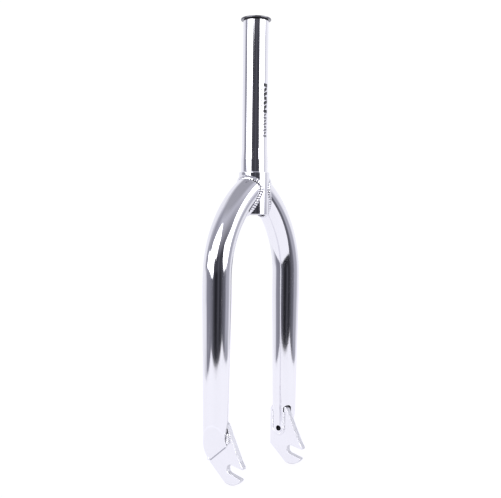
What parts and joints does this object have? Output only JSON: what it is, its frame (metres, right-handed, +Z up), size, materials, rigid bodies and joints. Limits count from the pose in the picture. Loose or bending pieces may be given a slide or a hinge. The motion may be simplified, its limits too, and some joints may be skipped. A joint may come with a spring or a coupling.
{
  "type": "bmx bicycle fork",
  "caption": "Chromed steel BMX bicycle fork: threadless steerer with screwed preload cap, two tapered legs curved out from the crown, slotted open dropouts.",
  "frame": {"origin": "centre of the crown race ledge on the steerer's axis", "axes": "+Z up the steerer to its cap, +X towards the bike's left leg, -Y forward, the way the axle slots open"},
  "size_m": [0.1526, 0.0541, 0.511],
  "materials": {
    "chromed_steerer": "polished chrome over heat-treated steel",
    "dark_cap": "gloss black anodised aluminium",
    "chromed_leg": "polished chrome over tapered steel tube",
    "chromed_dropout": "chrome over cut steel plate, slightly duller",
    "chromed_weld": "chrome over rippled weld bead",
    "washer_nylon": "black nylon"
  },
  "bodies": {
    "fork": {"steerer_tube": "chromed_steerer", "leg_left": "chromed_leg", "end_plate_left": "chromed_leg", "dropout_left": "chromed_dropout", "crown_weld_left": "chromed_weld", "front_weld_left": "chromed_weld", "rear_weld_left": "chromed_weld", "inner_weld_left": "chromed_weld", "leg_right": "chromed_leg", "end_plate_right": "chromed_leg", "dropout_right": "chromed_dropout", "crown_weld_right": "chromed_weld", "front_weld_right": "chromed_weld", "rear_weld_right": "chromed_weld", "inner_weld_right": "chromed_weld"},
    "cap_carrier": {"cap_washer": "washer_nylon"},
    "cap": {"preload_cap": "dark_cap"}
  },
  "joints": [
    {"name": "cap_lift", "type": "slide", "parent": "fork", "child": "cap_carrier", "axis": [0, 0, 1], "range_m": [0, 0.012]},
    {"name": "cap_turn", "type": "hinge", "parent": "cap_carrier", "child": "cap", "pos_m": [0, 0, 0.17], "axis": [0, 0, 1], "range_deg": [0, 2880]}
  ],
  "couplings": [
    {"joint": "cap_lift", "follows": "cap_turn", "m_per_rad": 0.00023873}
  ]
}
